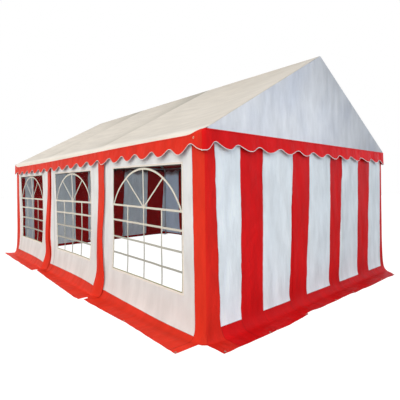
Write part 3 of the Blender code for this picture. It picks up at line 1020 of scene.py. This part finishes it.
def tape(name, colour, lower=None):
    """Narrow tape with fine ribs and a slight mottle. lower is its colour low down: painted shade on the
    window bars, and the olive below the painted black shadow line on the film's edge.
    """
    made = Finish(name)
    spot = made.add("TexCoord", {}, output=3)
    if lower is not None:
        height = made.add("SeparateXYZ", {"Vector": spot}, output=2)
        # Colour above, lower below: painted shade low down on the bars, a painted shadow line high up on the
        # film's edge
        colour = made.mix(made.fade(height, 1.05, 0.70), colour, lower)
    grain = made.noise(spot, 60.0, 3.0)
    ribs = made.noise(made.stretch(spot, (40.0, 40.0, 400.0)), 1.0, 2.0)
    made.set(base_color=made.tinted(colour, made.plus(made.times(grain, 0.14), 0.91)), specular_ior_level=0.2)
    made.set(roughness=made.plus(made.times(grain, 0.15), 0.45), normal=made.bump(ribs, 0.0004, 0.5))
    return made.material


def eyelet_metal():
    made = Finish("eyelet_metal")
    spot = made.add("TexCoord", {}, output=3)
    dull = made.noise(spot, 240.0, 3.0)
    made.set(base_color=made.mix(dull, (0.62, 0.56, 0.42, 1), (0.42, 0.38, 0.30, 1)))
    made.set(metallic=0.8, roughness=made.plus(made.times(dull, 0.2), 0.35))
    return made.material


def studio_floor():
    """A pale floor. The camera sees it evenly lit, and the tent gets its real bounced light from it."""
    made = Finish("studio_floor")
    made.set(base_color=(0.45, 0.45, 0.45, 1), roughness=1.0, specular_ior_level=0.0)
    even = made.add("Emission", {"Color": (1, 1, 1, 1), "Strength": 1.22})
    seen_by_camera = made.add("LightPath", {})
    made.show_with(made.times(seen_by_camera, 0.88), even)
    return made.material


GALVANISED = galvanised()
ROOF_FABRIC = coated_fabric("roof_fabric", roof_tones, 0.05, 0.7)
GABLE_FABRIC = coated_fabric("gable_fabric", gable_tones, 0.06, 1.0)
SIDE_VALANCE = coated_fabric("valance_side_fabric", plain(SIDE_VALANCE_RED), 0.20, 1.2)
END_VALANCE = coated_fabric("valance_end_fabric", plain(END_VALANCE_RED), 0.20, 1.2)
WINDOW_PANEL = coated_fabric("window_panel_fabric", window_panel, 0.22, 0.8, wander=0.012)
FRONT_WALL = coated_fabric("striped_front_fabric", front_stripes, 0.22, 1.1, wander=0.030)
BACK_WALL = coated_fabric("striped_back_fabric", back_stripes, 0.44, 1.0, wander=0.030)
SIDE_WALL = coated_fabric("striped_side_fabric", side_stripes, 0.44, 1.0, wander=0.020)
FILM = window_film()
BINDING_TAPE = tape("binding_tape", BINDING_WHITE)
HEM_TAPE = tape("window_hem_tape", HEM_WHITE)
BAR_TAPE = tape("window_bar_tape", BAR_CREAM, BAR_PAINTED_SHADE)
FILM_EDGE = tape("film_edge_tape_and_shadow", FILM_EDGE_PAINTED_SHADOW, FILM_EDGE_OLIVE)
EYELET = eyelet_metal()

# The steel frame keeps its CAD shapes
STEEL_PARTS = ("post_", "rafter_", "eave_rail", "ridge_rail", "front_tie_bar", "back_tie_bar")
for node_name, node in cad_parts.items():
    if node_name.startswith(STEEL_PARTS):
        for node_slot in node.material_slots:
            node_slot.material = GALVANISED


def make_roof():
    """Both slopes in one cloth."""
    # Where each stretch of one slope ends, and the step of the grid there
    stretches = ((RIDGE_ARC, 0.005), (ROLL_START, ROOF_STEP), (ROLL_END, 0.009), (ROOF_REACH, 0.008))
    right = []
    start = 0.0
    for end, step in stretches:
        right.append((start, end, step))
        start = end
    left = [(-b, -a, step) for a, b, step in reversed(right)]
    stops = [0.0, 0.05, *(portal + RAKE for portal in PORTALS[1:3]), 2 * RAKE - 0.05, 2 * RAKE]
    rows = ruler(*[(a, b, 0.030 if b - a > 0.1 else 0.01) for a, b in zip(stops, stops[1:])])
    roof = cut_cloth("roof_cloth", ruler(*left, *right), rows)
    hang(roof, roof_place)
    thicken(roof, CLOTH_THICKNESS, 60)
    mark_inner(roof, Vector((0, 0, 1)))
    dress(roof, ROOF_FABRIC, ["roof_cover"])


GABLE_FOOT = 1.850
GABLE_HALF = 1.978
GABLE_PROUD = 0.0245


def gable_top(along):
    """Height of the roof cloth over a place on the gable."""
    out = abs(along)
    if out < RIDGE_RADIUS * math.sin(SLOPE_ANGLE):
        centre = CLOTH_APEX - RIDGE_RADIUS / math.cos(SLOPE_ANGLE)
        return centre + math.sqrt(RIDGE_RADIUS**2 - out**2)
    return CLOTH_APEX - out * math.tan(SLOPE_ANGLE)


def make_gable(side):
    """The triangle of cloth over a gable wall, with soft upright puckers from its edges."""
    step = 0.010 if side == "front" else 0.018
    columns = ruler((-GABLE_HALF, 0.0, step), (0.0, GABLE_HALF, step))
    gable = cut_cloth(f"gable_cloth_{side}", columns, ruler((0.0, 1.0, 1 / 44)))
    for loop in gable.data.uv_layers.active.data:
        top = gable_top(loop.uv.x)
        loop.uv.y = RIDGE_HEIGHT - (top + (GABLE_FOOT - top) * loop.uv.y)
    seed = SEEDS[side] + 100

    def place(along, down):
        top = gable_top(along) - 0.0008
        height = top + (GABLE_FOOT - top) * down
        edge = ease(min(top - height, height - GABLE_FOOT - 0.03) / 0.30)
        broad = wave(0.022, along * 0.9, height * 0.8, seed) + wave(0.008, along * 2.4, height, seed + 4)
        near_edge = bell(top - height, 0.28) + 0.8 * bell(height - GABLE_FOOT, 0.34)
        pucker = uneven(along * 13.0, height * 0.9, seed + 7)
        pucker += 0.6 * uneven(along * 25.0, height * 1.3, seed + 9)
        patch = clamp(0.35 + 1.5 * uneven(along * 0.9, height, seed + 11), 0.15, 1.0)
        proud = GABLE_PROUD + edge * broad
        proud += 0.0030 * pucker * patch * near_edge * ease((top - height) / 0.05)
        return on_side(side, along, proud, height, 0.001)

    hang(gable, place)
    thicken(gable, CLOTH_THICKNESS)
    mark_inner(gable, SIDES[side][0])
    dress(gable, GABLE_FABRIC, [f"{side}_gable"])


# How far the walls of the long sides and of the gables reach along them, with their turn round the corner
SIDE_WRAP = corner_length(HALF_LENGTH, WALL_CORNER_RADIUS, 50)
END_WRAP = corner_length(HALF_WIDTH, WALL_CORNER_RADIUS, 47)

# The panels with windows: span, lapping strip, ends of the flap, zero of the panel's own coordinate, outline
LEFT_PANELS = (
    (
        (-SIDE_WRAP, -0.985), None, (-2.963, -1.09), -2.833,
        ((-2.963, 0.316, 0, 0.005), (-2.03, 0.280, 0, 0), (-1.3, 0.290, 0, 0), (-1.09, 0.291, 0, 0)),
    ),
    (
        (-1.125, 1.015), (-1.125, -1.0, 1.0), (-1.062, 0.90), -0.93,
        (
            (-1.125, 0.400, -0.030, -0.010), (-1.062, 0.340, -0.008, 0.018), (-0.94, 0.335, 0, 0),
            (0.7, 0.250, 0, 0), (0.90, 0.240, 0, 0),
        ),
    ),
    (
        (0.875, SIDE_WRAP), (0.875, 1.0, 1.0), (0.938, 2.963), 1.03,
        (
            (0.875, 0.38, -0.030, -0.010), (0.938, 0.30, -0.008, 0.018), (1.06, 0.29, 0, 0),
            (2.963, 0.240, 0, 0.02),
        ),
    ),
)

# The striped panels of the other side: skew of the flaps at the corners, span and ends of the flap
FLAP_SKEW = 0.07
RIGHT_PANELS = (
    ((-SIDE_WRAP, -1.001), (-2.963, -1.03)),
    ((-0.999, 0.999), (-0.985, 0.975)),
    ((1.001, SIDE_WRAP), (1.02, 2.963)),
)

# The gable walls: span, lapping strip, ends of the flap, outline
END_PANELS = (
    (
        (-END_WRAP, -0.60), None, (-1.992, -0.648),
        (
            (-1.992, 0.236, -0.022, -0.025), (-1.93, 0.239, 0, -0.02), (-1.40, 0.258, 0, 0),
            (-1.10, 0.264, 0, 0), (-0.648, 0.250, 0, -0.080),
        ),
    ),
    (
        (-0.645, 0.60), (-0.645, -0.58, 0.15), (-0.75, 0.56),
        ((-0.75, 0.222, 0, 0), (0.0, 0.240, 0, 0), (0.35, 0.246, 0, 0), (0.56, 0.250, 0, -0.160)),
    ),
    (
        (0.57, END_WRAP), (0.57, 0.63, 0.15), (0.36, 1.972),
        ((0.36, 0.262, 0, 0), (1.5, 0.275, 0, 0), (1.972, 0.285, -0.095, -0.290)),
    ),
)


def make_left_walls():
    """The three panels with windows. Each further one laps over the one before it with a loose strip."""
    for n, (span, lap_edge, flap, zero, outline) in enumerate(LEFT_PANELS):
        cloth, flat = add_wall_cloth(
            f"left_wall_{n + 1}", "left", span, WINDOW_PANEL, flap, outline,
            lap_edge, BAY_MIDDLES[n],
        )
        for loop in cloth.data.uv_layers.active.data:
            loop.uv.x -= zero
            if n == 0:
                # The near seam of the first panel leans towards the corner
                lean = 0.012 * loop.uv.y + 0.018 * ease((loop.uv.y - 1.66) / 0.18)
                loop.uv.x += lean * (1 - clamp(loop.uv.x))
                # The foot seam of the first panel runs lower, most of all towards the corner
                lower = 0.018 + 0.060 * (1 - clamp(loop.uv.x / PANEL_WHITE))
                loop.uv.y -= lower * ease((loop.uv.y - 1.3) / 0.5)


def make_right_walls():
    """The three striped panels. The flaps end aslant at both corners."""
    for n, (span, flap) in enumerate(RIGHT_PANELS):
        near_skew = FLAP_SKEW if n == 0 else 0.0
        far_skew = -FLAP_SKEW if n == 2 else 0.0
        outline = (
            (flap[0], 0.30, 0, near_skew), (sum(flap) / 2, 0.285, 0, 0), (flap[1], 0.295, 0, far_skew),
        )
        cloth, flat = add_wall_cloth(
            f"right_wall_{n + 1}", "right", span, SIDE_WALL, flap, outline
        )


def make_end_walls(side):
    """Two fixed panels and the zipped door between them, which overlap at loose edges."""
    names = [f"{side}_wall_left", f"{side}_door", f"{side}_wall_right"]
    material = FRONT_WALL
    if side == "back":
        names.reverse()
        material = BACK_WALL
    for name, (span, lap_edge, flap, outline) in zip(names, END_PANELS):
        cloth, flat = add_wall_cloth(name, side, span, material, flap, outline, lap_edge)


# Windows: clear film, its bars and its edge tape

BAR = 0.022
BAR_HEIGHTS = (1.180, 0.994, 0.790, 0.594)
BAR_SPACING = 0.34
ARCH_TOP = 1.611
ARCH_RADIUS = 0.750
ARCH_CENTRE = ARCH_TOP - ARCH_RADIUS
# The two slanting bars under the arch: direction and length
SPOKE_ANGLE = math.atan2(0.36, 0.31)
SPOKE_LENGTH = 0.495
# How far the bars, the dark edge band with its painted shadow line and the hem of a window stand in front of
# the film
BAR_LIFT = 0.0014
EDGE_TAPE_LIFT = 0.0013
HEM_LIFT = 0.0042


def add_strip(start, end, width):
    """A flat straight strip in the XY plane, with a cross line every few centimetres."""
    bpy.ops.object.select_all(action="DESELECT")
    start, end = Vector((*start, 0)), Vector((*end, 0))
    run = end - start
    pieces = max(2, math.ceil(run.length / 0.03))
    bpy.ops.mesh.primitive_grid_add(x_subdivisions=pieces, y_subdivisions=1, size=1)
    strip = bpy.context.object
    shape = Matrix.Translation((start + end) / 2) @ Matrix.Rotation(math.atan2(run.y, run.x), 4, "Z")
    strip.data.transform(shape @ Matrix.Diagonal((run.length, width, 1, 1)))
    return strip


def add_arch():
    """A flat band, arched over the springing line."""
    bpy.ops.object.select_all(action="DESELECT")
    bpy.ops.mesh.primitive_circle_add(vertices=144, radius=ARCH_RADIUS, location=(0, ARCH_CENTRE, 0))
    arch = bpy.context.object
    bpy.ops.object.transform_apply(location=True, rotation=False, scale=False)
    bpy.ops.object.mode_set(mode="EDIT")
    bpy.ops.mesh.select_all(action="SELECT")
    bpy.ops.mesh.extrude_edges_move()
    inner = (ARCH_RADIUS - BAR) / ARCH_RADIUS
    bpy.ops.transform.resize(value=(inner, inner, 1), center_override=(0, ARCH_CENTRE, 0))
    bpy.ops.mesh.select_all(action="SELECT")
    bpy.ops.mesh.bisect(plane_co=(0, BAR_HEIGHTS[0], 0), plane_no=(0, 1, 0), clear_inner=True)
    bpy.ops.object.mode_set(mode="OBJECT")
    return arch


def join(pieces):
    """Several pieces as one."""
    bpy.ops.object.select_all(action="DESELECT")
    for piece in pieces:
        piece.select_set(True)
    bpy.context.view_layer.objects.active = pieces[0]
    bpy.ops.object.join()
    return pieces[0]


def own_copy(pattern, name):
    """A copy with its own mesh."""
    copy = pattern.copy()
    copy.data = pattern.data.copy()
    copy.name = name
    copy.data.name = name
    bpy.context.collection.objects.link(copy)
    return copy


def make_bars(breadth, upright):
    """The pattern of bars of one window, flat: x along the wall from the window's middle, y its height."""
    half = WINDOW_HALF
    parts = [add_strip((-half, height), (half, height), breadth) for height in BAR_HEIGHTS]
    for along in (-BAR_SPACING, BAR_SPACING):
        parts.append(add_strip((along, WINDOW_SILL), (along, BAR_HEIGHTS[0]), upright))
    parts.append(add_strip((0, WINDOW_SILL), (0, ARCH_TOP - BAR), upright))
    for sign in (-1, 1):
        tip_x = sign * SPOKE_LENGTH * math.sin(SPOKE_ANGLE)
        tip_y = BAR_HEIGHTS[0] + SPOKE_LENGTH * math.cos(SPOKE_ANGLE)
        parts.append(add_strip((0, BAR_HEIGHTS[0]), (tip_x, tip_y), BAR * 0.8))
    parts.append(add_arch())
    # Bars that cross lie a little in front of each other
    for n, part in enumerate(parts):
        part.data.transform(Matrix.Translation((0, 0, 0.00025 * (n % 4))))
    bars = join(parts)
    thicken(bars, TAPE_THICKNESS, 40)
    return bars


def make_border(inset, width, thickness):
    """A flat band round the window opening, its middle line that far inside the opening's edge."""
    half = WINDOW_HALF - inset
    low, high = WINDOW_SILL + inset, WINDOW_HEAD - inset
    reach = half + width / 2
    parts = [
        add_strip((-reach, low), (reach, low), width),
        add_strip((-reach, high), (reach, high), width),
        add_strip((-half, low + width / 2), (-half, high - width / 2), width),
        add_strip((half, low + width / 2), (half, high - width / 2), width),
    ]
    band = join(parts)
    thicken(band, thickness, 40)
    return band


def follow_film(pattern, name, middle, lift):
    """A copy of a flat pattern, laid on the film or wall cloth of one window."""
    copy = own_copy(pattern, name)
    for vertex in copy.data.vertices:
        along, height, depth = vertex.co
        vertex.co = film_point(middle + along, height, lift + depth)
    return copy


def make_windows():
    """The film of each window with its bars, the dark band round its edge, which is a painted shadow line at
    the top, and the hem of the opening.
    """
    near_bars = make_bars(BAR, 0.85 * BAR)
    # The bars of the further windows look broader in the photo
    far_bars = make_bars(1.15 * BAR, 1.35 * BAR)
    # A dark band round the film's edge: black high up as a painted shadow line under the hem, olive low down
    edge = make_border(0.005, 0.011, 0.001)
    hem = make_border(-0.010, 0.019, TAPE_THICKNESS)
    half = WINDOW_HALF + FILM_LAP
    for n, middle in enumerate(BAY_MIDDLES):
        columns = ruler((middle - half, middle + half, 0.03))
        rows = ruler((WALL_TOP - WINDOW_HEAD - FILM_LAP, WALL_TOP - WINDOW_SILL + FILM_LAP, 0.03))
        film = cut_cloth(f"window_film_{n + 1}", columns, rows)
        hang(film, lambda along, down: film_point(along, WALL_TOP - down, 0.0))
        thicken(film, FILM_THICKNESS)
        dress(film, FILM, [f"left_window_{n + 1}"])
        trims = [
            follow_film(far_bars if n else near_bars, f"window_bars_{n + 1}", middle, BAR_LIFT),
            follow_film(edge, f"window_edge_tape_and_shadow_{n + 1}", middle, EDGE_TAPE_LIFT),
            follow_film(hem, f"window_hem_{n + 1}", middle, HEM_LIFT),
        ]
        for trim, material in zip(trims, (BAR_TAPE, FILM_EDGE, HEM_TAPE)):
            dress(trim, material, [])
    for pattern in (near_bars, far_bars, edge, hem):
        bpy.data.objects.remove(pattern)


# Eyelets

EYELET_HOLE = 0.0055
EYELET_THICKNESS = 0.0006
# From the hole outwards: growth of the ring and its rise
EYELET_STEPS = ((1.0, 0.0030), (1.25, 0.0010), (1.35, 0.0002), (1.18, -0.0010))
EYELET_FROM_HEM = 0.014
# The eyelets by the corners of the side valances: place along the side, and down from the seam
VALANCE_EYELET = 2.895
VALANCE_EYELET_DOWN = 0.05


def make_eyelet():
    """A pressed eyelet: a rolled rim and a short barrel, built up from a circle."""
    bpy.ops.object.select_all(action="DESELECT")
    bpy.ops.mesh.primitive_circle_add(vertices=24, radius=EYELET_HOLE, location=(0, 0, -0.0022))
    eyelet = bpy.context.object
    bpy.ops.object.transform_apply(location=True, rotation=False, scale=False)
    bpy.ops.object.mode_set(mode="EDIT")
    bpy.ops.mesh.select_all(action="SELECT")
    for factor, rise in EYELET_STEPS:
        bpy.ops.mesh.extrude_edges_move()
        bpy.ops.transform.resize(value=(factor, factor, 1), center_override=(0, 0, 0))
        bpy.ops.transform.translate(value=(0, 0, rise))
    bpy.ops.object.mode_set(mode="OBJECT")
    thicken(eyelet, EYELET_THICKNESS, 35)
    return eyelet


def set_eyelet(pattern, name, centre, axis):
    """One eyelet at a point of the cloth, which faces along an axis."""
    copy = own_copy(pattern, name)
    turn = Vector((0, 0, 1)).rotation_difference(axis).to_matrix().to_4x4()
    copy.data.transform(Matrix.Translation(centre) @ turn)
    dress(copy, EYELET, [])


# The eyelets of the flaps of each side: place along it and reach of the flap there
END_EYELETS = (
    (-1.99, 0.236), (-1.398, 0.258), (-0.745, 0.251), (-0.08, 0.238), (0.38, 0.247), (1.25, 0.272),
    (1.66, 0.284),
)
FLAP_EYELETS = {
    "left": (
        (-2.94, 0.315), (-2.03, 0.280), (-1.12, 0.291), (-1.02, 0.338), (-0.10, 0.294), (0.87, 0.242),
        (0.98, 0.297), (1.95, 0.266), (2.95, 0.240),
    ),
    "right": (
        (-2.87, 0.30), (-1.99, 0.285), (-1.05, 0.295), (-0.965, 0.30), (0.0, 0.285), (0.955, 0.295),
        (1.04, 0.30), (1.99, 0.285), (2.87, 0.295),
    ),
    "front": END_EYELETS,
    "back": END_EYELETS,
}


def set_eyelets(pattern):
    """Eyelets near the hem of each flap, and by the corners of the side valances."""
    rows = [(side, *row) for side in FLAP_EYELETS for row in FLAP_EYELETS[side]]
    for n, (side, along, reach) in enumerate(rows):
        down = FLAP_END - EYELET_FROM_HEM
        lift = 0.0 if side in LONG_SIDES else FLAP_OVERLAP
        centre = wall_point(side, along, down, lift, reach)
        ahead = wall_point(side, along + 0.02, down, lift, reach) - centre
        outward = wall_point(side, along, down + 0.01, lift, reach) - centre
        up = ahead.cross(outward).normalized()
        up = up if up.z > 0 else -up
        set_eyelet(pattern, f"eyelet_{side}_{n + 1}", centre + up * 0.0016, up)
    for side in LONG_SIDES:
        for end, along in (("near", -VALANCE_EYELET), ("far", VALANCE_EYELET)):
            centre = valance_point(side, along, VALANCE_EYELET_DOWN)
            set_eyelet(pattern, f"eyelet_valance_{side}_{end}", centre, SIDES[side][0])
    bpy.data.objects.remove(pattern)


make_roof()
make_gable("front")
make_gable("back")
make_left_walls()
make_right_walls()
make_end_walls("front")
make_end_walls("back")
for valance_side in SIDES:
    add_valance(valance_side, SIDE_VALANCE if valance_side in LONG_SIDES else END_VALANCE, BINDING_TAPE)
make_windows()
set_eyelets(make_eyelet())

# Floor, light and camera
bpy.ops.object.select_all(action="DESELECT")
bpy.ops.mesh.primitive_plane_add(size=80, location=(0, 0, -0.0015))
floor = bpy.context.object
floor.name = "floor"
floor.data.materials.append(studio_floor())


# Light from the sky: its strength at the horizon, where it is warm, and its two colours
SKY_LIGHT = 1.45
WARM_SIDE = (-0.93, 0.37, 0.0)
WARM_SKY = (1.12, 0.99, 0.86, 1)
COOL_SKY = (0.86, 0.99, 1.16, 1)


def studio_sky():
    """Soft light from all round: warm from the window side, cool from the gable side, less from above."""
    world = bpy.data.worlds.new("studio")
    bpy.context.scene.world = world
    world.use_nodes = True
    sky = Nodes(world.node_tree)
    direction = sky.add("TexCoord", {})
    warm_side = sky.add("VectorMath", {0: direction, 1: WARM_SIDE}, output=1, operation="DOT_PRODUCT")
    warm = sky.add("Math", {0: warm_side, 1: 0.9, 2: 0.5}, operation="MULTIPLY_ADD", use_clamp=True)
    height = sky.add("SeparateXYZ", {0: direction}, output=2)
    dimmer = sky.add("Math", {0: height, 1: -1.0, 2: SKY_LIGHT}, operation="MULTIPLY_ADD")
    ambient = sky.add("Background", {0: sky.mix(warm, COOL_SKY, WARM_SKY), 1: dimmer})
    # The camera sees a plain white backdrop
    backdrop = sky.add("Background", {0: (1, 1, 1, 1), 1: 1.0})
    seen_by_camera = sky.add("LightPath", {})
    shown = sky.add("MixShader", {0: seen_by_camera, 1: ambient, 2: backdrop})
    sky.join(shown, sky.tree.nodes["World Output"].inputs["Surface"])


def add_sun(name, direction, energy, colour, angle):
    """A distant soft lamp. direction points to it, and angle is its spread in degrees."""
    lamp = bpy.data.lights.new(name, "SUN")
    lamp.energy = energy
    lamp.color = colour
    lamp.angle = math.radians(angle)
    sun = bpy.data.objects.new(name, lamp)
    bpy.context.collection.objects.link(sun)
    sun.rotation_euler = Vector(direction).to_track_quat("Z", "Y").to_euler()


studio_sky()
add_sun("key", (-0.72, -0.35, 0.55), 1.1, (1.0, 0.92, 0.83), 40)
add_sun("fill", (-0.30, -0.80, 0.50), 0.32, (0.90, 0.96, 1.0), 40)

# The camera of the photo, from the second fit
CAMERA_PLACE = (-4.087, -5.243, 1.400)
CAMERA_TILT = math.radians(90.24)
CAMERA_HEADING = math.radians(-41.71)
CAMERA_ROLL = math.radians(-0.64)
CAMERA_LENS = 31.18
CAMERA_SHIFT = (0.0073, -0.0395)

camera_data = bpy.data.cameras.new("camera")
camera = bpy.data.objects.new("camera", camera_data)
bpy.context.collection.objects.link(camera)
camera.location = CAMERA_PLACE
level = Euler((CAMERA_TILT, 0, CAMERA_HEADING)).to_matrix()
camera.rotation_euler = (level @ Matrix.Rotation(CAMERA_ROLL, 3, "Z")).to_euler()
camera_data.sensor_width = 36
camera_data.lens = CAMERA_LENS
camera_data.shift_x, camera_data.shift_y = CAMERA_SHIFT
camera_data.clip_end = 200
bpy.context.scene.camera = camera
bpy.context.scene.view_settings.view_transform = "Standard"
bpy.context.scene.view_settings.look = "None"
